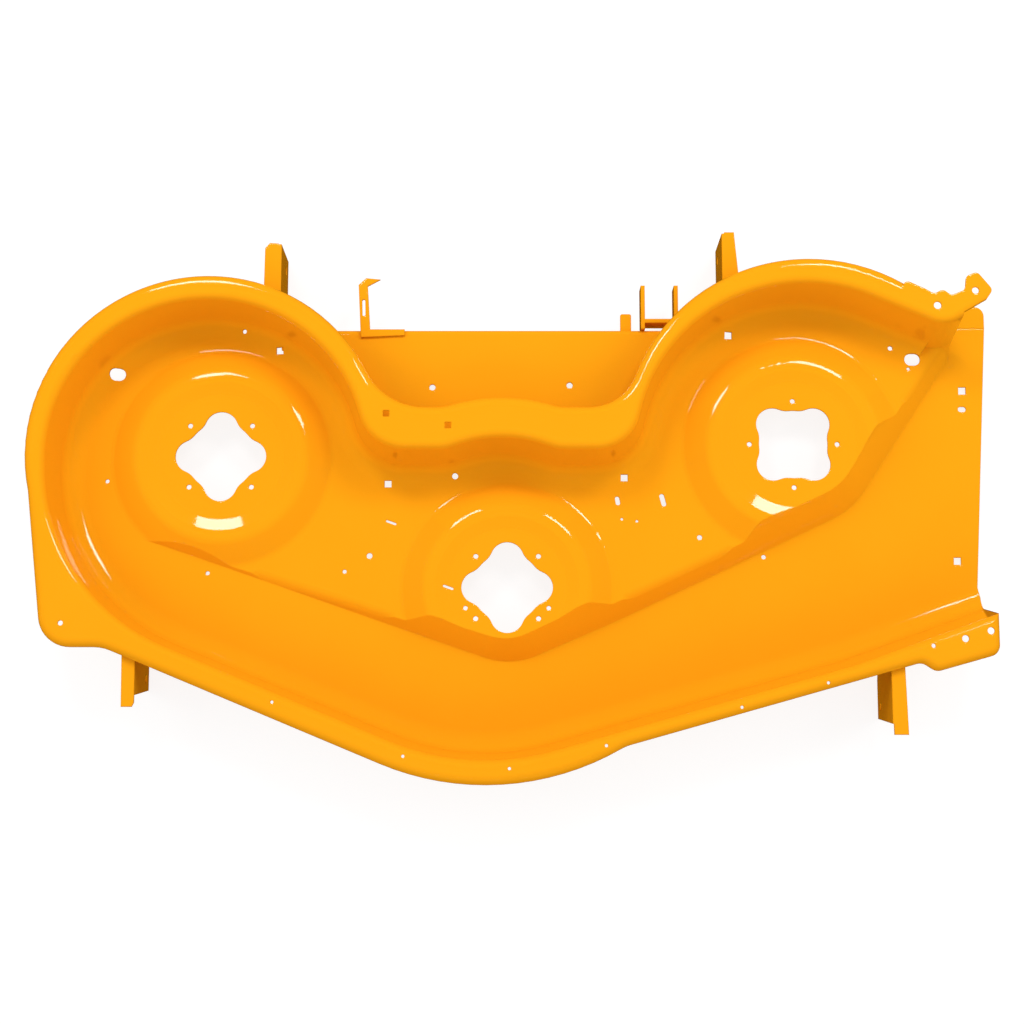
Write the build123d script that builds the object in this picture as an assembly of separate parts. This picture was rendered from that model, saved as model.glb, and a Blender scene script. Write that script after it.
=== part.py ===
"""Pressed steel deck of a three-blade ride-on mower, lying on its back with the open underside up.

Millimetres. X runs from the closed side to the discharge side, Y from the front edge to the rear,
and Z up out of the open underside. The sketch frame puts X and Y near the middle of the deck, and
the finished pieces are moved so that the origin is under the middle of the whole part.
"""
from build123d import *

import os
from math import cos, radians, sin, tan

# Sheet, and the levels of its upper faces above the ground
sheet = 3.0
rim_z = 135.0
plateau_z = 37.0
tunnel_z = 9.0
dome_rise = 20.0
dish_depth = 4.0

# Skirt: the wall that runs round three overlapping arcs, measured where it meets the rim plane
lobe_left = (-437.0, 71.0)
lobe_left_r = 228.0
lobe_right = (421.0, 77.0)
lobe_right_r = 246.0
front_centre = (-37.0, -12.0)
front_r = 350.0
front_left_deg = 22.6
front_right_deg = 15.7
front_end_deg = 19.7
front_end_x = 480.0
front_end_r = 400.0
left_bend_r = 288.0
saddle_y = 80.0
saddle_left_r = 66.0
saddle_right_r = 62.0
hump_x = -15.0
hump_rise = 17.0
hump_r = 190.0
hump_blend_r = 60.0
rear_right_deg = 23.2
rear_right_run = 112.0
flare_deg = 30.0
flare_r = 42.0
draft_deg = 9.5
floor_bend_r = 32.0
floor_back_chamfer = 16.0

# Rim: the flange round the skirt, with its rolled lip
rim_width = 33.0
rim_lip = 13.0
rim_roll_r = 12.0
rim_roll_back_chamfer = 5.0
rim_bend_r = 11.0
rim_back_chamfer = 5.0
lip_end = (566.0, 150.0)
rim_left = (-437.0, 77.0)
rim_left_r = 256.0
rim_right = (428.0, 89.0)
rim_right_r = 269.5
rim_saddle_y = 140.0
rim_saddle_left_r = 95.0
rim_saddle_right_r = 72.0
rim_hump_width = 57.0
rim_front_right_trim = 13.0
ear_x = -661.0
ear_notch_x = -575.0
ear_r = 46.0
ear_notch_r = 60.0

# Discharge side: where the sheet ends, and the two tabs that carry the chute
open_rear = (707.0, 330.0)
open_front = (681.0, -105.0)
flare_end = (648.0, 225.0)
flare_floor_y = 284.0
front_tab_x = 684.0
front_tab_from = 574.0
front_tab_run = 20.0
front_tab_drop = 18.0
front_tab_r = 16.0
hinge_blank = (
    (548.0, 296.0), (566.0, 324.0), (600.0, 350.0), (800.0, 390.0), (800.0, 250.0), (640.0, 220.0), (560.0, 240.0),
)
hinge_tab = (
    (540.0, 290.0), (566.0, 324.0), (592.0, 312.0), (606.0, 304.0), (618.0, 311.0), (630.0, 302.0),
    (650.0, 310.0), (652.0, 330.0), (668.0, 337.0), (690.0, 310.0), (676.0, 289.0), (650.0, 215.0), (545.0, 230.0),
)
hinge_tab_r = 8.0

# Blade spindles, and the raised seats round them
spindle_left = (-424.0, 82.0)
spindle_centre = (-7.0, -110.0)
spindle_right = (410.0, 100.0)
dome_run = 35.0
dome_left_r = 125.0
dome_centre_r = 119.0
dome_right_r = 125.0
dome_top_bend_r = 24.0
dome_foot_bend_r = 14.0
dome_root = 9.0
dome_fade = 25.0
dish_border = 15.0
dish_run = 18.0
window_r = 50.0
window_lobe_r = 24.0
window_reach = 66.0
window_blend_r = 30.0
bolt_circle_r = 64.0
bolt_hole_d = 7.2

# Discharge tunnel: the channel pressed deeper along the front, in front of the crease
crease_left_deg = 17.2
crease_right_deg = 25.3
crease_end_deg = 57.0
crease_centre = (-3.0, -203.0)
crease_right = (486.0, 28.0)
crease_centre_r = 88.0
crease_right_r = 100.0
crease_slope_deg = 39.0
crease_bend_r = 18.0
ramp_start_x = -500.0
ramp_end_x = 150.0
ramp_bend_r = 1500.0

# Holes: (x, y, diameter) for round ones, (x, y, side) for square ones, (x, y, length, width, turn) for slots
front_hole_d = 4.5
front_hole_run = 12.0
front_left_hole_x = -334.0
front_right_hole_x = (131.0, 320.0, 441.0)
nose_hole_deg = (-108.4, -84.7)
rim_round_holes = (
    (-632.0, -170.0, 7.3), (670.0, -181.0, 10.0), (634.0, -192.0, 10.0), (589.0, -202.0, 6.0), (610.0, 287.0, 11.0),
    (665.0, 309.0, 10.0),
)
rim_square_holes = ((-179.0, 129.0, 9.0), (-91.0, 112.0, 9.0))
floor_round_holes = (
    (-394.0, 271.0, 6.0), (558.0, 247.0, 7.0), (-83.0, 55.0, 9.0), (273.0, -35.0, 7.5), (-207.0, -62.0, 8.5),
    (-243.0, -85.0, 6.0), (-591.0, 48.0, 6.0), (584.0, 216.0, 5.0), (160.0, -8.0, 4.0), (182.0, -11.0, 4.0),
    (-442.0, -87.0, 6.0), (369.0, -60.0, 6.7), (53.0, -140.0, 6.5), (-67.0, -140.0, 6.5),
)
floor_square_holes = (
    (319.0, 266.0, 10.5), (-342.0, 243.0, 10.0), (164.0, 53.0, 10.0), (-181.0, 44.0, 10.0), (668.0, 189.0, 11.0),
    (653.0, -66.0, 10.5),
)
floor_slots = (
    (220.0, 20.0, 19.0, 7.0, 105.0), (154.0, 19.0, 13.0, 6.5, 100.0), (667.0, 161.0, 12.0, 8.0, 0.0),
    (-176.0, -13.0, 16.0, 3.5, -20.0), (-92.0, -110.0, 16.0, 3.5, -20.0), (590.0, 230.0, 23.0, 18.0, 0.0),
    (-580.0, 207.0, 23.0, 18.0, 0.0),
)

# Cross plate welded across the saddle, and the small brackets on its rear lip
plate_z = 65.0
plate_rear_y = 268.0
plate_left = -325.0
plate_right = 300.0
plate_lip = 22.0
plate_bend_r = 7.0
plate_hole_d = 9.0
plate_holes = ((-116.0, 182.0), (84.0, 185.0))
strap_t = 4.0
strap_outline = (
    (-221.0, 256.0), (-157.0, 259.0), (-157.0, 268.0), (-207.5, 268.0), (-211.5, 333.0), (-193.0, 343.0),
    (-214.0, 345.0), (-225.0, 335.0),
)
strap_slot = (-217.0, 300.5, 25.0, 4.5, 91.5)
clevis_x = (188.5, 243.0)
clevis_t = 6.0
clevis_rear_y = 333.0
clevis_web_y = 277.0
clevis_z = (38.0, 72.0)
tab_x = (159.0, 175.0)
tab_rear_y = 294.0
tab_z = 52.0
tab_t = 4.0

# Hangers welded under the skirt: the flange's plan, the web's left face, and the web and its hole in Y and Z
hanger_t = 4.0
hanger_hole_d = 11.0
rear_hanger_z = 95.0
front_hanger_z = 119.0
left_rear_flange = ((-362.0, 230.0), (-336.0, 230.0), (-340.0, 390.0), (-353.0, 391.0), (-360.0, 383.0))
left_rear_web = ((230.0, rear_hanger_z), (389.0, rear_hanger_z), (389.0, 0.0), (330.0, 0.0), (230.0, 40.0))
left_rear_web_x = -340.0
left_rear_hole = (366.0, 30.0)
right_rear_flange = ((306.0, 250.0), (338.0, 250.0), (324.0, 407.0), (310.0, 407.0), (306.0, 400.0))
right_rear_web = ((250.0, rear_hanger_z), (405.0, rear_hanger_z), (405.0, 0.0), (345.0, 0.0), (250.0, 40.0))
right_rear_web_x = 306.0
right_rear_hole = (382.0, 30.0)
left_front_flange = ((-549.0, -120.0), (-529.0, -120.0), (-529.0, -280.0), (-532.0, -286.0), (-547.0, -286.0))
left_front_web = ((-120.0, front_hanger_z), (-270.0, front_hanger_z), (-255.0, 0.0), (-205.0, 0.0), (-120.0, 30.0))
left_front_web_x = -533.0
left_front_hole = (-240.0, 24.0)
right_front_flange = ((529.0, -150.0), (549.0, -150.0), (554.0, -325.0), (534.0, -325.0))
right_front_web = ((-150.0, front_hanger_z), (-310.0, front_hanger_z), (-296.0, 0.0), (-240.0, 0.0), (-150.0, 30.0))
right_front_web_x = 532.0
right_front_hole = (-280.0, 24.0)

# Beyond every edge of the deck, for cutting shapes
reach = 800.0


def on(point, z=0.0):
    """Return a location over a plan point."""
    return Pos(point[0], point[1], z)


def corner(sketch, x, y):
    """Return the vertex of a sketch nearest to a plan point."""
    return sketch.vertices().sort_by_distance((x, y, 0))[0]


def region(*points):
    """Return the face inside a closed run of straight lines."""
    return make_face(Polyline(*points, close=True))


def along(start, angle_deg, distance):
    """Return the plan point at a distance from another, along an angle from +X."""
    return (start[0] + distance * cos(radians(angle_deg)), start[1] + distance * sin(radians(angle_deg)))


def at_x(start, angle_deg, x):
    """Return the point at x on the line through start at an angle from +X."""
    return (x, start[1] + (x - start[0]) * tan(radians(angle_deg)))


def front_segment(radius):
    """Return the front half of the round nose of the deck."""
    return on(front_centre) * (Circle(radius) - Pos(0, reach) * Rectangle(2 * reach, 2 * reach))


def skirt_plan(grow):
    """Return the plan of the space inside the skirt at the rim plane, grown outwards."""
    left_r = lobe_left_r + grow
    right_r = lobe_right_r + grow
    left_x = lobe_left[0] - left_r
    front_left = along(front_centre, -90 - front_left_deg, front_r + grow)
    front_right = along(front_centre, front_right_deg - 90, front_r + grow)
    end_lean = (front_right_deg + front_end_deg) / 2
    front_end = at_x(front_right, front_right_deg, front_end_x + grow * sin(radians(end_lean)))
    half_nose = radians(front_left_deg + front_right_deg) / 2
    nose = along(front_centre, (front_right_deg - front_left_deg) / 2 - 90, (front_r + grow) / cos(half_nose))
    left_corner = at_x(front_left, -front_left_deg, left_x)
    rear_right = along(lobe_right, 90 - rear_right_deg, right_r)
    flare = along(rear_right, -rear_right_deg, rear_right_run)
    top = saddle_y + grow
    body = region(
        (left_x, lobe_left[1]), left_corner, nose, front_end,
        at_x(front_end, front_end_deg, reach), at_x(flare, flare_deg, reach), flare, rear_right,
        (lobe_right[0], top), (lobe_left[0], top),
    )
    half_turn = radians(90 - front_left_deg) / 2
    longest_r = 0.98 * (lobe_left[1] - left_corner[1]) / tan(half_turn)
    body = fillet(corner(body, *left_corner), min(left_bend_r + grow, longest_r))
    body = fillet(corner(body, *nose), front_r + grow)
    body = fillet(corner(body, *front_end), front_end_r + grow)
    body = fillet(corner(body, *flare), flare_r - grow)
    plan = body + on(lobe_left) * Circle(left_r) + on(lobe_right) * Circle(right_r)
    plan += Pos(hump_x, saddle_y + hump_rise - hump_r) * Circle(hump_r + grow)
    plan = plan.clean()
    plan = fillet(corner(plan, lobe_left[0] + left_r, top), saddle_left_r - grow)
    plan = fillet(corner(plan, lobe_right[0] - right_r, top), saddle_right_r - grow)
    half = (hump_r**2 - (hump_r - hump_rise) ** 2) ** 0.5
    for side in (-1, 1):
        plan = fillet(corner(plan, hump_x + side * half, top), hump_blend_r)
    return plan


def floor_edges(solid, top_z):
    """Return the edges where the drafted walls meet the floor of a solid space."""
    low = [edge for edge in solid.edges() if edge.bounding_box().max.Z < top_z]
    return [edge for edge in low if abs((edge % 0.5).Y) < 0.999 or edge.geom_type != GeomType.LINE]


def drafted_space(grow, floor_z):
    """Return the space inside the skirt from the rim plane down to a level, with drafted walls."""
    plan = skirt_plan(grow / cos(radians(draft_deg)))
    return extrude(on((0, 0), rim_z) * plan, amount=rim_z - floor_z, dir=(0, 0, -1), taper=draft_deg)


def ramp_ground(grow):
    """Return what lies under the tunnel floor, which sinks from the plateau's level along X."""
    high = plateau_z - grow
    low = tunnel_z - grow
    profile = FilletPolyline(
        (-reach, high), (ramp_start_x, high), (ramp_end_x, low), (reach, low), radius=ramp_bend_r
    )
    under = Polyline(profile @ 1, (reach, low - 100), (-reach, low - 100), profile @ 0)
    return extrude(Plane.XZ * make_face(profile + under), amount=reach, both=True)


def floor_bend(solid, grow):
    """Return a solid space bent round its floor: rounded under the deck, and bevelled on the back."""
    edges = floor_edges(solid, plateau_z - grow + 1)
    return chamfer(edges, floor_back_chamfer) if grow else fillet(edges, floor_bend_r)


def cavity_parts(grow):
    """Return the space over the plateau and the space over the tunnel, before they are joined."""
    upper = drafted_space(grow, plateau_z - grow)
    lower = drafted_space(grow, tunnel_z - grow) - ramp_ground(grow)
    return floor_bend(upper, grow), floor_bend(lower, grow)


def plateau_plan(grow):
    """Return the plan of the plateau behind the crease, at the plateau's level."""
    lean = radians(crease_slope_deg)
    plan = region(
        at_x(crease_centre, -crease_left_deg, -reach), crease_centre, crease_right,
        at_x(crease_right, crease_end_deg, reach), (reach, 2 * reach), (-reach, 2 * reach),
    )
    plan = fillet(corner(plan, *crease_centre), crease_centre_r)
    plan = fillet(corner(plan, *crease_right), crease_right_r)
    return offset(plan, grow * (tan(lean) - 1 / cos(lean))) if grow else plan


def dome(centre, top_r, grow):
    """Return the raised seat of one spindle, flared out into the plateau, with its shallow dish."""
    low = plateau_z - grow
    high = low + dome_rise
    foot_r = top_r + dome_run
    dish_r = top_r - dish_border
    far_r = foot_r + dome_foot_bend_r
    outline = region(
        (0, low - dome_root), (far_r + dome_fade, low - dome_root), (far_r, low), (foot_r, low), (top_r, high),
        (dish_r, high), (dish_r - dish_run, high - dish_depth), (0, high - dish_depth),
    )
    if not grow:
        outline = fillet(corner(outline, foot_r, low), dome_foot_bend_r)
        outline = fillet(corner(outline, top_r, high), dome_top_bend_r)
    return on(centre) * revolve(Plane.XZ * outline, Axis.Z)


def cavity(grow):
    """Return the space under the deck: plateau, domes, ramp and tunnel inside the drafted skirt."""
    upper, lower = cavity_parts(grow)
    level = plateau_z - grow
    plan = plateau_plan(grow)
    bend_r = crease_bend_r - grow
    inset = 2 * crease_bend_r * tan(radians(90 - crease_slope_deg) / 2) + 2 * grow
    over = extrude(on((0, 0), level) * offset(plan, -inset), amount=rim_z, dir=(0, 0, 1))
    under = extrude(on((0, 0), level) * plan, amount=level + sheet, dir=(0, 0, -1), taper=-crease_slope_deg)
    sloped = under + extrude(on((0, 0), level) * plan, amount=2 * dome_rise, dir=(0, 0, 1), taper=crease_slope_deg)
    under = fillet(under.faces().sort_by(Axis.Z)[-1].edges(), bend_r)
    space = (upper & over) + (lower - over - under)
    seats = ((spindle_left, dome_left_r), (spindle_centre, dome_centre_r), (spindle_right, dome_right_r))
    for centre, top_r in seats:
        space -= dome(centre, top_r, grow) & sloped
    return space


def rim_plan():
    """Return the plan inside the outer edge of the rim, with the corner ear and the front tab."""
    nose_r = front_r + rim_width
    front_left = along(front_centre, -90 - front_left_deg, nose_r)
    front_right = along(front_centre, front_right_deg - 90, nose_r - rim_front_right_trim)
    notch = at_x(front_left, -front_left_deg, ear_notch_x)
    ear = (ear_x, notch[1])
    tab_start = at_x(front_right, front_right_deg, front_tab_from)
    drop = front_tab_drop / cos(radians(front_right_deg))
    tab_near = at_x((front_right[0], front_right[1] - drop), front_right_deg, front_tab_from + front_tab_run)
    tab_far = at_x(tab_near, front_right_deg, front_tab_x)
    plan = region(
        (rim_left[0] - rim_left_r, rim_left[1]), ear, notch, front_left, front_right, tab_start, tab_near, tab_far,
        (front_tab_x, rim_right[1]), (rim_right[0], rim_saddle_y), (rim_left[0], rim_saddle_y),
    )
    plan = fillet(corner(plan, *ear), ear_r)
    plan = fillet(corner(plan, *notch), ear_notch_r)
    plan = fillet([corner(plan, *tab_start), corner(plan, *tab_near)], front_tab_r)
    plan = fillet(corner(plan, *tab_far), front_tab_r)
    plan += front_segment(nose_r)
    plan += on(rim_left) * Circle(rim_left_r) + on(rim_right) * Circle(rim_right_r)
    hump_y = saddle_y + hump_rise - hump_r
    plan += Pos(hump_x, hump_y) * Circle(hump_r + rim_hump_width)
    plan = plan.clean()
    plan = fillet(corner(plan, rim_left[0] + rim_left_r, rim_saddle_y), rim_saddle_left_r)
    plan = fillet(corner(plan, rim_right[0] - rim_right_r, rim_saddle_y), rim_saddle_right_r)
    half = ((hump_r + rim_hump_width) ** 2 - (rim_saddle_y - hump_y) ** 2) ** 0.5
    for side in (-1, 1):
        plan = fillet(corner(plan, hump_x + side * half, rim_saddle_y), hump_blend_r)
    nose_run = (nose_r**2 - (nose_r - rim_front_right_trim) ** 2) ** 0.5
    return fillet(corner(plan, *along(front_right, front_right_deg, nose_run)), ear_notch_r)


def level(z, sketch, amount):
    """Return a sketch placed at a level and extruded up by an amount, or down by a negative one."""
    return extrude(on((0, 0), z) * sketch, amount=abs(amount), dir=(0, 0, 1 if amount > 0 else -1))


def top_edges(solid, z):
    """Return the edges that lie wholly at one level."""
    return [edge for edge in solid.edges() if abs(edge.bounding_box().min.Z - z) < 0.01 > abs(edge.bounding_box().max.Z - z)]


def window(turn):
    """Return the four-lobed opening for a spindle housing."""
    shape = Circle(window_r)
    for quarter in range(4):
        shape += Rot(0, 0, turn + 90 * quarter) * Pos(window_reach - window_lobe_r, 0) * Circle(window_lobe_r)
    shape = shape.clean()
    return fillet(shape.vertices(), window_blend_r)


def keep_plan():
    """Return the plan inside the cut edge of the sheet on the discharge side."""
    return region(
        (-reach, -reach), (front_tab_x + 1, -reach), (front_tab_x + 1, open_front[1] - front_tab_run), open_front,
        open_rear, (open_rear[0], reach), (-reach, reach),
    )


def punched(round_holes, square_holes, slots):
    """Return rows of round, square and slotted holes in one sketch."""
    plan = Sketch()
    for x, y, diameter in round_holes:
        plan += Pos(x, y) * Circle(diameter / 2)
    for x, y, side in square_holes:
        plan += Pos(x, y) * Rectangle(side, side)
    for x, y, length, width, turn in slots:
        plan += Pos(x, y) * Rot(0, 0, turn) * SlotOverall(length, width)
    return plan


def rim_hole_plan():
    """Return the holes of the rim, with a row that follows the front edge."""
    row_r = front_r + front_hole_run
    front_left = along(front_centre, -90 - front_left_deg, row_r)
    front_right = along(front_centre, front_right_deg - 90, row_r)
    row = [at_x(front_left, -front_left_deg, front_left_hole_x)]
    row += [along(front_centre, turn, row_r) for turn in nose_hole_deg]
    row += [at_x(front_right, front_right_deg, x) for x in front_right_hole_x]
    return punched(rim_round_holes + tuple((x, y, front_hole_d) for x, y in row), rim_square_holes, ())


def floor_hole_plan():
    """Return the holes of the floor: windows, bolt circles, and the rows above."""
    plan = punched(floor_round_holes, floor_square_holes, floor_slots)
    for centre, turn in ((spindle_left, 0), (spindle_centre, 0), (spindle_right, 45)):
        plan += on(centre) * window(turn)
        for quarter in range(4):
            plan += on(along(centre, turn + 45 + 90 * quarter, bolt_circle_r)) * Circle(bolt_hole_d / 2)
    return plan


def open_air(inner):
    """Return the space under the deck with all the air over the rim, rounded where the rim bends into the skirt."""
    air = inner + level(rim_z, Rectangle(2 * reach, 2 * reach), rim_z)
    edges = [edge for edge in top_edges(air, rim_z) if max(abs((edge @ 0.5).X), abs((edge @ 0.5).Y)) < reach - 1]
    return fillet(edges, rim_bend_r)


def rim_backing():
    """Return the bevel behind the bend of the rim, which keeps the sheet's thickness there."""
    return extrude(
        on((0, 0), rim_z - sheet - rim_back_chamfer) * skirt_plan(sheet / 2),
        amount=rim_back_chamfer, dir=(0, 0, 1), taper=-45,
    )


def rolled_rim(rim):
    """Return the flange with its rolled lip, which stops at the hinge tab."""
    flange = level(rim_z, rim, -rim_lip)
    flange = fillet(top_edges(flange, rim_z), rim_roll_r)
    hollow = level(rim_z - sheet, offset(rim, -sheet), -rim_lip)
    hollow = chamfer(top_edges(hollow, rim_z - sheet), rim_roll_back_chamfer)
    x, y = lip_end
    past_lip = region((x, y), (reach, y), (reach, reach), (x, reach))
    return flange - hollow - level(rim_z + 1, past_lip, -rim_lip - 2)


def flare_gap():
    """Return what is cut off the rear wall of the discharge, between the floor and the hinge tab."""
    x, y = flare_end
    return level(tunnel_z, region((x, y), (reach, y), (reach, reach), (x, reach)), rim_z - sheet - tunnel_z)


def flare_floor():
    """Return the flat end of the floor that runs on under the hinge tab."""
    x, y = flare_end
    return level(tunnel_z, region((x, y), (reach, y), (reach, flare_floor_y), (x, flare_floor_y)), -sheet)


def tab_end():
    """Return what is cut off the front wall of the discharge, over the rolled end of its tab."""
    side = region(
        (front_tab_x - rim_roll_r, rim_z + 1), (reach, rim_z + 1), (reach, -sheet), (front_tab_x, -sheet),
        (front_tab_x, rim_z - rim_roll_r),
    )
    corner_arc = Pos(front_tab_x - rim_roll_r, rim_z - rim_roll_r) * Circle(rim_roll_r)
    return Pos(0, open_front[1], 0) * extrude(Plane.XZ * (side - corner_arc), amount=reach, dir=(0, -1, 0))


def deck_shell(rim, inner, outer):
    """Return the pressed shell: skirt, floor and rim, cut to the discharge opening and pierced."""
    blank = region(*hinge_blank)
    shell = rolled_rim(rim) + level(rim_z, blank, -sheet) + outer + rim_backing() - open_air(inner)
    spare = blank - fillet(region(*hinge_tab).vertices(), hinge_tab_r)
    shell -= level(rim_z - rim_lip - 1, spare, rim_lip + 2)
    shell = shell - flare_gap() + flare_floor()
    shell &= level(-sheet, keep_plan(), 2 * rim_z)
    shell -= tab_end()
    shell -= level(rim_z + 1, rim_hole_plan(), -rim_lip)
    shell -= level(-sheet, floor_hole_plan(), rim_z - rim_lip)
    return shell


def cross_plate(outer):
    """Return the plate across the saddle, bent down along its rear edge."""
    top = plate_z
    plate = Pos(plate_left, 0, top - plate_lip) * Box(
        plate_right - plate_left, plate_rear_y, plate_lip, align=(Align.MIN, Align.MIN, Align.MIN)
    )
    inside = Pos(0, -sheet, -sheet) * plate
    edge = plate.edges().filter_by(Axis.X).sort_by(lambda item: item.center().Y + item.center().Z)[-1]
    plate = fillet(edge, plate_bend_r)
    edge = inside.edges().filter_by(Axis.X).sort_by(lambda item: item.center().Y + item.center().Z)[-1]
    plate -= fillet(edge, plate_bend_r - sheet)
    for x, y in plate_holes:
        plate -= Pos(x, y, top) * Cylinder(plate_hole_d / 2, 4 * sheet)
    return plate - outer


def slotted_bracket():
    """Return the flat slotted strap on the rear edge of the cross plate."""
    plan = region(*strap_outline)
    x, y, length, width, turn = strap_slot
    plan -= Pos(x, y) * Rot(0, 0, turn) * SlotOverall(length, width)
    return level(plate_z, plan, strap_t)


def clevis_bracket():
    """Return the two ears joined by a web behind the rear lip."""
    low, high = clevis_z
    ear_plan = Rectangle(clevis_t, clevis_rear_y - plate_rear_y, align=(Align.MIN, Align.MIN))
    plan = Pos(clevis_x[0], plate_rear_y) * ear_plan + Pos(clevis_x[1] - clevis_t, plate_rear_y) * ear_plan
    plan += Pos(clevis_x[0], clevis_web_y) * Rectangle(
        clevis_x[1] - clevis_x[0], clevis_t, align=(Align.MIN, Align.MIN)
    )
    return level(low, plan, high - low)


def stop_tab():
    """Return the small tab that stands out from the rear lip."""
    plan = Pos(tab_x[0], plate_rear_y) * Rectangle(
        tab_x[1] - tab_x[0], tab_rear_y - plate_rear_y, align=(Align.MIN, Align.MIN)
    )
    ends = plan.vertices().group_by(Axis.Y)[-1]
    return level(tab_z, fillet(ends, 3.0), tab_t)


def hanger(top_z, flange, web_x, web, hole, outer):
    """Return an angle bracket: a tapered flange, and a web on one edge cut to fit the shell."""
    piece = level(top_z, region(*flange), -hanger_t)
    face = Plane(origin=(web_x, 0, 0), x_dir=(0, 1, 0), z_dir=(1, 0, 0)) * region(*web)
    piece += extrude(face, amount=hanger_t)
    piece -= Pos(web_x, *hole) * Rot(0, 90, 0) * Cylinder(hanger_hole_d / 2, 8 * hanger_t)
    piece -= outer
    return piece


if __name__ == "__main__":
    rim = rim_plan()
    inner = cavity(0)
    outer = cavity(sheet)
    solid = outer + level(rim_z, rim, -rim_lip)
    parts = {
        "deck_shell": deck_shell(rim, inner, outer),
        "rear_cross_plate": cross_plate(solid),
        "left_rear_hanger": hanger(
            rear_hanger_z, left_rear_flange, left_rear_web_x, left_rear_web, left_rear_hole, solid
        ),
        "right_rear_hanger": hanger(
            rear_hanger_z, right_rear_flange, right_rear_web_x, right_rear_web, right_rear_hole, solid
        ),
        "left_front_hanger": hanger(
            front_hanger_z, left_front_flange, left_front_web_x, left_front_web, left_front_hole, solid
        ),
        "right_front_hanger": hanger(
            front_hanger_z, right_front_flange, right_front_web_x, right_front_web, right_front_hole, solid
        ),
        "slotted_bracket": slotted_bracket(),
        "clevis_bracket": clevis_bracket(),
        "stop_tab": stop_tab(),
    }
    box = Compound([piece for part in parts.values() for piece in part.solids()]).bounding_box()
    middle = Pos(-(box.min.X + box.max.X) / 2, -(box.min.Y + box.max.Y) / 2, -box.min.Z)
    os.makedirs("parts", exist_ok=True)
    for name, part in parts.items():
        solids = part.solids()
        assert len(solids) == 1, (name, [one.volume for one in solids])
        export_step(middle * solids[0], f"parts/{name}.step")
        print(name, round(solids[0].volume), solids[0].is_valid, len(solids[0].faces()))
    print("moved by", middle.position, "size", box.size)
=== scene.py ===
"""Looks of a pressed mower deck that lies on its back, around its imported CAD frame."""
from math import cos, radians, sin

import bmesh
import bpy
from bpy.props import FloatProperty, FloatVectorProperty, PointerProperty
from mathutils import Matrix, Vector


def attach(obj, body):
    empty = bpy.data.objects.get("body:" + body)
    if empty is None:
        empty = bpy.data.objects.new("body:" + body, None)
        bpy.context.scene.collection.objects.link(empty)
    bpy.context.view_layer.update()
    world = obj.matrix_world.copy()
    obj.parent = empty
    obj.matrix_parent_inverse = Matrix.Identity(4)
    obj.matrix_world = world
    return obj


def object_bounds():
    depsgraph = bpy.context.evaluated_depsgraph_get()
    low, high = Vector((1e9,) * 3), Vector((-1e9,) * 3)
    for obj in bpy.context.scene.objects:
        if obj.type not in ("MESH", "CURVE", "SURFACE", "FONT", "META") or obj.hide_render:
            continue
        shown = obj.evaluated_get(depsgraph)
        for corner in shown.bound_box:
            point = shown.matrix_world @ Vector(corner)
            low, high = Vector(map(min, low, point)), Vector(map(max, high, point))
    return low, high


bl_info = {
    "name": "Mower deck looks",
    "version": (1, 0, 0),
    "blender": (4, 5, 0),
    "location": "3D View > Sidebar > Mower deck",
    "description": "Paints a pressed mower deck and sets up its studio",
    "category": "Object",
}

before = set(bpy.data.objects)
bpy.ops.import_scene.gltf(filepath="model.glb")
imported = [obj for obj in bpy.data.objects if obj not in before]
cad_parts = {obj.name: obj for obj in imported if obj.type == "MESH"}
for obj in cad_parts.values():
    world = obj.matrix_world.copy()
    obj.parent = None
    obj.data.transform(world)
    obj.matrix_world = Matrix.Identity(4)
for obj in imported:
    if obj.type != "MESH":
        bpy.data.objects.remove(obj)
CAD_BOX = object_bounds()
ROOT = "root"

# Flat end of the discharge floor: its rear edge, from left to right, and its faces
FLOOR_END_LEFT = Vector((0.6424, 0.278))
FLOOR_END_RIGHT = Vector((0.6986, 0.278))
FLOOR_TOP = 0.009
FLOOR_SHEET = 0.003
CORNER_STEPS = 6

# Powder coat: pools of deeper colour, dimples of the orange peel, and the gloss on top
POOL_SCALE = 9.0
POOL_DETAIL = 3.0
PEEL_DETAIL = 2.0
DIMPLE_STRENGTH = 0.06
DIMPLE_DEPTH = 0.0003
EDGE_SAMPLES = 8
GLOSS_ROUGHNESS = 0.04

# Studio: the point that lamps and camera face, the turns of the wide panels in degrees, and the white sweep
DECK_MIDDLE = Vector((-0.0056, -0.006, 0.053))
PANEL_TURNS = {"left": 165, "front": 270, "right": 15}
CAMERA_TURN = -90
SENSOR_WIDTH = 36.0
SWEEP_REACH = 12.0
SWEEP_GAP = 0.0005
SWEEP_GREY = (0.2, 0.2, 0.2, 1)
WHITE = (1, 1, 1, 1)


class FloorEndSettings(bpy.types.PropertyGroup):
    """Strip of the discharge floor under the hinge tab."""

    run: FloatProperty(
        name="Run", description="How far the strip runs on to the rear", unit="LENGTH",
        min=0.001, max=0.05, default=0.033,
    )
    corner_radius: FloatProperty(
        name="Corner radius", description="Radius of the strip's outer corner", unit="LENGTH",
        min=0.001, max=0.03, default=0.014,
    )


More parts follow.
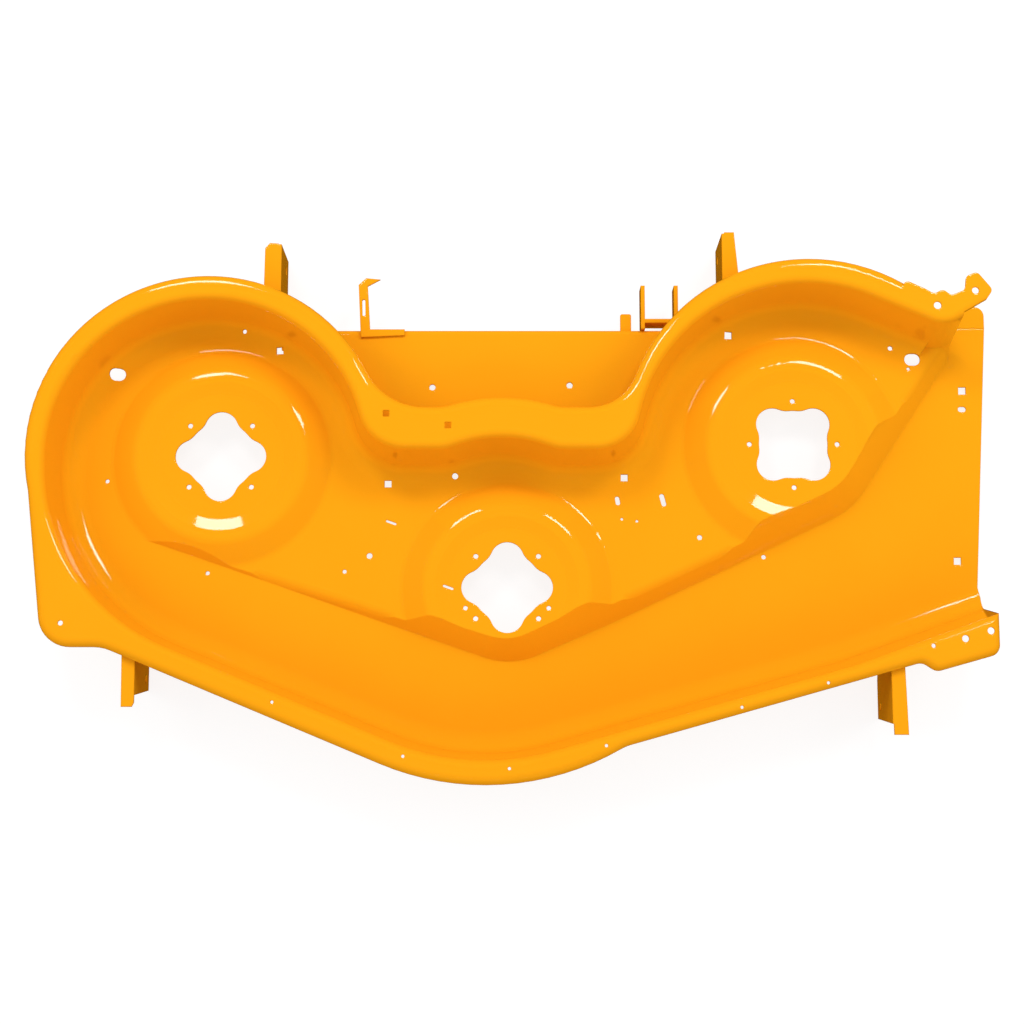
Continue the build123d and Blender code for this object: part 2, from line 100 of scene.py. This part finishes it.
class PaintSettings(bpy.types.PropertyGroup):
    """Colour and gloss of the powder coat."""

    colour: FloatVectorProperty(
        name="Paint", description="Linear colour of the coat where it is full", subtype="COLOR", size=3,
        min=0, max=1, default=(0.93, 0.365, 0.0075),
    )
    deep_colour: FloatVectorProperty(
        name="Deep paint", description="Linear colour of the coat where it pools", subtype="COLOR", size=3,
        min=0, max=1, default=(0.92, 0.345, 0.006),
    )
    roughness: FloatProperty(
        name="Roughness", description="Roughness of the colour under the gloss", subtype="FACTOR",
        min=0, max=1, default=0.35,
    )
    peel_size: FloatProperty(
        name="Orange peel", description="Size of the dimples in the coat", unit="LENGTH",
        min=0.0005, max=0.05, default=0.004,
    )
    soft_edge: FloatProperty(
        name="Soft edges", description="Radius that the coat rounds over every edge", unit="LENGTH",
        min=0, max=0.02, default=0.003,
    )


class StageSettings(bpy.types.PropertyGroup):
    """Camera, light and floor."""

    lens: FloatProperty(
        name="Lens", description="Focal length on a 36 mm sensor", unit="CAMERA",
        min=10, max=300, default=73.83,
    )
    distance: FloatProperty(
        name="Camera distance", description="From the middle of the deck", unit="LENGTH",
        min=0.5, max=20, default=3.045,
    )
    elevation: FloatProperty(
        name="Camera elevation", description="Angle of the camera above the floor", subtype="ANGLE",
        min=0, max=radians(90), default=radians(81),
    )
    box_power: FloatProperty(
        name="Soft boxes", description="Power of each soft box over the rear of the deck", unit="POWER",
        min=0, max=2000, default=20,
    )
    box_size: FloatProperty(
        name="Soft box size", description="Side of each square soft box", unit="LENGTH",
        min=0.1, max=3, default=0.65,
    )
    box_distance: FloatProperty(
        name="Lamp distance", description="Of the soft boxes and panels from the middle of the deck",
        unit="LENGTH", min=1, max=10, default=3,
    )
    box_elevation: FloatProperty(
        name="Soft box elevation", description="Angle of the soft boxes above the floor", subtype="ANGLE",
        min=0, max=radians(90), default=radians(51),
    )
    left_box_turn: FloatProperty(
        name="Left box turn", description="Turn of the left soft box from the discharge side",
        subtype="ANGLE", min=0, max=radians(360), default=radians(117),
    )
    right_box_turn: FloatProperty(
        name="Right box turn", description="Turn of the right soft box from the discharge side",
        subtype="ANGLE", min=0, max=radians(360), default=radians(56),
    )
    room: FloatProperty(
        name="Room light", description="Strength of the white room", min=0, max=3, default=0.56,
    )
    fill: FloatProperty(
        name="Fill", description="Power of each wide panel round the deck", unit="POWER",
        min=0, max=2000, default=18,
    )
    fill_size: FloatProperty(
        name="Fill size", description="Side of each wide panel", unit="LENGTH", min=0.1, max=5, default=1.6,
    )
    fill_elevation: FloatProperty(
        name="Fill elevation", description="Angle of the wide panels above the floor", subtype="ANGLE",
        min=0, max=radians(90), default=radians(36),
    )
    floor_glow: FloatProperty(
        name="Floor glow", description="Light that the white sweep sends up to the deck",
        min=0, max=2, default=0.45,
    )
    floor_white: FloatProperty(
        name="Floor white", description="Glow of the white sweep as the camera sees it",
        min=0, max=2, default=0.84,
    )


def node_tree(material):
    """Return a material's nodes and links, emptied."""
    material.use_nodes = True
    nodes = material.node_tree.nodes
    nodes.clear()
    return nodes, material.node_tree.links


def coat_material(settings):
    """Return the powder coat: pooled colour, fine orange peel and softly rounded edges under a gloss."""
    material = bpy.data.materials.new("powder_coat")
    nodes, links = node_tree(material)
    output = nodes.new("ShaderNodeOutputMaterial")
    paint = nodes.new("ShaderNodeBsdfPrincipled")
    place = nodes.new("ShaderNodeTexCoord")
    pools = nodes.new("ShaderNodeTexNoise")
    pools.inputs["Scale"].default_value = POOL_SCALE
    pools.inputs["Detail"].default_value = POOL_DETAIL
    links.new(place.outputs["Object"], pools.inputs["Vector"])
    tint = nodes.new("ShaderNodeMix")
    tint.data_type = "RGBA"
    tint.inputs["A"].default_value = (*settings.colour, 1)
    tint.inputs["B"].default_value = (*settings.deep_colour, 1)
    links.new(pools.outputs["Fac"], tint.inputs["Factor"])
    links.new(tint.outputs["Result"], paint.inputs["Base Color"])
    peel = nodes.new("ShaderNodeTexNoise")
    peel.inputs["Scale"].default_value = 1.0 / settings.peel_size
    peel.inputs["Detail"].default_value = PEEL_DETAIL
    links.new(place.outputs["Object"], peel.inputs["Vector"])
    dimples = nodes.new("ShaderNodeBump")
    dimples.inputs["Strength"].default_value = DIMPLE_STRENGTH
    dimples.inputs["Distance"].default_value = DIMPLE_DEPTH
    links.new(peel.outputs["Fac"], dimples.inputs["Height"])
    rounding = nodes.new("ShaderNodeBevel")
    rounding.samples = EDGE_SAMPLES
    rounding.inputs["Radius"].default_value = settings.soft_edge
    links.new(rounding.outputs["Normal"], dimples.inputs["Normal"])
    links.new(dimples.outputs["Normal"], paint.inputs["Normal"])
    paint.inputs["Roughness"].default_value = settings.roughness
    paint.inputs["Specular IOR Level"].default_value = 0.0
    paint.inputs["Coat Weight"].default_value = 1.0
    paint.inputs["Coat Roughness"].default_value = GLOSS_ROUGHNESS
    links.new(dimples.outputs["Normal"], paint.inputs["Coat Normal"])
    links.new(paint.outputs["BSDF"], output.inputs["Surface"])
    return material


def floor_material(settings):
    """Return the white sweep: a matt sheet that glows, so that it is white and keeps a faint shadow."""
    material = bpy.data.materials.new("studio_floor")
    nodes, links = node_tree(material)
    output = nodes.new("ShaderNodeOutputMaterial")
    sweep = nodes.new("ShaderNodeBsdfPrincipled")
    sweep.inputs["Base Color"].default_value = SWEEP_GREY
    sweep.inputs["Roughness"].default_value = 1.0
    sweep.inputs["Specular IOR Level"].default_value = 0.0
    sweep.inputs["Emission Color"].default_value = WHITE
    ray = nodes.new("ShaderNodeLightPath")
    strength = nodes.new("ShaderNodeMapRange")
    strength.inputs["To Min"].default_value = settings.floor_glow
    strength.inputs["To Max"].default_value = settings.floor_white
    links.new(ray.outputs["Is Camera Ray"], strength.inputs["Value"])
    links.new(strength.outputs["Result"], sweep.inputs["Emission Strength"])
    links.new(sweep.outputs["BSDF"], output.inputs["Surface"])
    return material


def floor_end_outline(settings):
    """Return the plan of the strip: square at the floor, with one round outer corner."""
    radius = min(settings.corner_radius, settings.run)
    rear = FLOOR_END_RIGHT.y + settings.run
    centre = Vector((FLOOR_END_RIGHT.x - radius, rear - radius))
    turns = [radians(90 * step / CORNER_STEPS) for step in range(CORNER_STEPS + 1)]
    corner = [centre + radius * Vector((cos(turn), sin(turn))) for turn in turns]
    return [FLOOR_END_LEFT, FLOOR_END_RIGHT, *corner, Vector((FLOOR_END_LEFT.x, rear))]


def aim(item):
    """Turn a lamp or camera to look at the middle of the deck."""
    item.rotation_euler = (DECK_MIDDLE - item.location).to_track_quat("-Z", "Y").to_euler()


def around(distance, turn, elevation):
    """Return the point at a distance, a turn from +X and an elevation from the middle of the deck."""
    flat = cos(elevation)
    return DECK_MIDDLE + distance * Vector((flat * cos(turn), flat * sin(turn), sin(elevation)))


def soft_box(name, place, size, power):
    """Add a square soft box that faces the middle of the deck."""
    lamp = bpy.data.lights.new(name, "AREA")
    lamp.size = size
    lamp.energy = power
    box = bpy.data.objects.new(name, lamp)
    box.location = place
    bpy.context.scene.collection.objects.link(box)
    aim(box)
    return box


def add_sweep(scene, settings):
    """Add the white floor, just under the deck and out of its gloss."""
    mesh = bpy.data.meshes.new("floor")
    signs = ((-1, -1), (1, -1), (1, 1), (-1, 1))
    mesh.from_pydata([(x * SWEEP_REACH, y * SWEEP_REACH, 0) for x, y in signs], [], [(0, 1, 2, 3)])
    mesh.materials.append(floor_material(settings))
    floor = bpy.data.objects.new("floor", mesh)
    floor.location.z = CAD_BOX[0].z - SWEEP_GAP
    floor.visible_glossy = False
    scene.collection.objects.link(floor)


def add_room(scene, settings):
    """Light the scene from a white room that doesn't show in the gloss."""
    world = bpy.data.worlds.new("white_room")
    scene.world = world
    world.use_nodes = True
    background = world.node_tree.nodes["Background"]
    background.inputs["Color"].default_value = WHITE
    background.inputs["Strength"].default_value = settings.room
    world.cycles_visibility.glossy = False


def add_lamps(settings):
    """Add two soft boxes behind the deck, and wide panels round it that fill its walls but not its gloss."""
    for side, turn in (("left", settings.left_box_turn), ("right", settings.right_box_turn)):
        place = around(settings.box_distance, turn, settings.box_elevation)
        soft_box(side + "_box", place, settings.box_size, settings.box_power)
    for side, turn in PANEL_TURNS.items():
        place = around(settings.box_distance, radians(turn), settings.fill_elevation)
        panel = soft_box(side + "_panel", place, settings.fill_size, settings.fill)
        panel.visible_glossy = False


def add_camera(scene, settings):
    """Add the camera, which looks down on the deck from the front."""
    camera = bpy.data.cameras.new("camera")
    camera.lens = settings.lens
    camera.sensor_width = SENSOR_WIDTH
    eye = bpy.data.objects.new("camera", camera)
    eye.location = around(settings.distance, radians(CAMERA_TURN), settings.elevation)
    aim(eye)
    scene.collection.objects.link(eye)
    scene.camera = eye


class DECK_OT_floor_end(bpy.types.Operator):
    """Run the end of the discharge floor on to under the hinge tab"""

    bl_idname = "deck.floor_end"
    bl_label = "Add the end of the floor"

    def execute(self, context):
        strip = bmesh.new()
        outline = floor_end_outline(context.scene.deck_floor_end)
        under = strip.faces.new([strip.verts.new((*point, FLOOR_TOP - FLOOR_SHEET)) for point in outline])
        lifted = bmesh.ops.extrude_face_region(strip, geom=[under])["geom"]
        for item in lifted:
            if isinstance(item, bmesh.types.BMVert):
                item.co.z = FLOOR_TOP
        bmesh.ops.recalc_face_normals(strip, faces=strip.faces)
        mesh = bpy.data.meshes.new("discharge_floor_end")
        strip.to_mesh(mesh)
        strip.free()
        piece = bpy.data.objects.new("discharge_floor_end", mesh)
        context.scene.collection.objects.link(piece)
        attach(piece, ROOT)
        return {"FINISHED"}


class DECK_OT_paint(bpy.types.Operator):
    """Paint the pressed shell and everything welded to it"""

    bl_idname = "deck.paint"
    bl_label = "Paint the deck"

    def execute(self, context):
        coat = coat_material(context.scene.deck_paint)
        for piece in [*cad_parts.values(), bpy.data.objects["discharge_floor_end"]]:
            piece.data.materials.clear()
            piece.data.materials.append(coat)
        return {"FINISHED"}


class DECK_OT_stage(bpy.types.Operator):
    """Set up the floor, the white room, the lamps and the camera"""

    bl_idname = "deck.stage"
    bl_label = "Set up the studio"

    def execute(self, context):
        scene = context.scene
        settings = scene.deck_stage
        scene.view_settings.view_transform = "Standard"
        add_sweep(scene, settings)
        add_room(scene, settings)
        add_lamps(settings)
        add_camera(scene, settings)
        return {"FINISHED"}


class DECK_PT_panel(bpy.types.Panel):
    """Lists the settings and steps of the mower deck"""

    bl_label = "Mower deck"
    bl_space_type = "VIEW_3D"
    bl_region_type = "UI"
    bl_category = "Mower deck"

    def draw(self, context):
        layout = self.layout
        for group in (context.scene.deck_floor_end, context.scene.deck_paint, context.scene.deck_stage):
            column = layout.column(heading=group.bl_rna.name)
            for name in group.bl_rna.properties.keys():
                if name not in {"rna_type", "name"}:
                    column.prop(group, name)
        for step in (DECK_OT_floor_end, DECK_OT_paint, DECK_OT_stage):
            layout.operator(step.bl_idname)


CLASSES = (
    FloorEndSettings, PaintSettings, StageSettings, DECK_OT_floor_end, DECK_OT_paint, DECK_OT_stage,
    DECK_PT_panel,
)


def register():
    for item in CLASSES:
        bpy.utils.register_class(item)
    bpy.types.Scene.deck_floor_end = PointerProperty(type=FloorEndSettings)
    bpy.types.Scene.deck_paint = PointerProperty(type=PaintSettings)
    bpy.types.Scene.deck_stage = PointerProperty(type=StageSettings)


def unregister():
    del bpy.types.Scene.deck_stage
    del bpy.types.Scene.deck_paint
    del bpy.types.Scene.deck_floor_end
    for item in reversed(CLASSES):
        bpy.utils.unregister_class(item)


def main():
    """Run each step in order."""
    register()
    bpy.ops.deck.floor_end()
    bpy.ops.deck.paint()
    bpy.ops.deck.stage()


if __name__ == "__main__":
    main()
